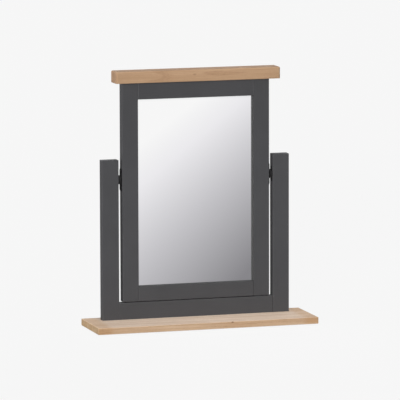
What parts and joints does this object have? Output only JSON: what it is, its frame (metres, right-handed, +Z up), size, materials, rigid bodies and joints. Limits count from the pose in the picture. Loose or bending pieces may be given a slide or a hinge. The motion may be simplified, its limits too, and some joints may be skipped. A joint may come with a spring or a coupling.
{
  "type": "dressing table mirror",
  "caption": "Free-standing trinket mirror: a painted frame with an oak cap tilts on friction pivots between painted posts that stand on an oak board with a shelf in front.",
  "frame": {"origin": "on the table under the middle of the base board", "axes": "+X to the viewer's right along the pivot axis, -Y to the front, +Z up"},
  "size_m": [0.552, 0.155, 0.6205],
  "materials": {
    "oak": "satin",
    "charcoal_paint": "satin",
    "mirror_glass": "polished",
    "black_metal": "satin",
    "zinc_steel": "satin",
    "fibre_washer": "matte",
    "beech": "matte",
    "hardboard": "matte",
    "foam": "matte",
    "felt": "matte"
  },
  "bodies": {
    "stand": {"base_board": "oak", "left_post": "charcoal_paint", "right_post": "charcoal_paint", "stand_rail": "charcoal_paint", "rail_dowels": "beech", "base_screws": "zinc_steel", "front_left_pad": "felt", "front_right_pad": "felt", "rear_left_pad": "felt", "rear_right_pad": "felt", "left_post_plate": "black_metal", "right_post_plate": "black_metal", "left_post_plate_screws": "black_metal", "right_post_plate_screws": "black_metal"},
    "mirror": {"top_rail": "charcoal_paint", "bottom_rail": "charcoal_paint", "frame_dowels": "beech", "top_cap": "oak", "cap_dowels": "beech", "mirror_glass": "mirror_glass", "foam_strips": "foam", "back_panel": "hardboard", "panel_screws": "zinc_steel", "left_stile": "charcoal_paint", "right_stile": "charcoal_paint", "left_frame_plate": "black_metal", "right_frame_plate": "black_metal", "left_frame_plate_screws": "black_metal", "right_frame_plate_screws": "black_metal", "left_pivot_pin": "zinc_steel", "right_pivot_pin": "zinc_steel", "left_friction_washer": "fibre_washer", "right_friction_washer": "fibre_washer", "left_spring_washer": "zinc_steel", "right_spring_washer": "zinc_steel", "left_lock_nut": "zinc_steel", "right_lock_nut": "zinc_steel"}
  },
  "joints": [
    {"name": "mirror_tilt", "type": "hinge", "parent": "stand", "child": "mirror", "pos_m": [0, 0.0395, 0.357], "axis": [1, 0, 0], "range_deg": [-173, 168]}
  ]
}
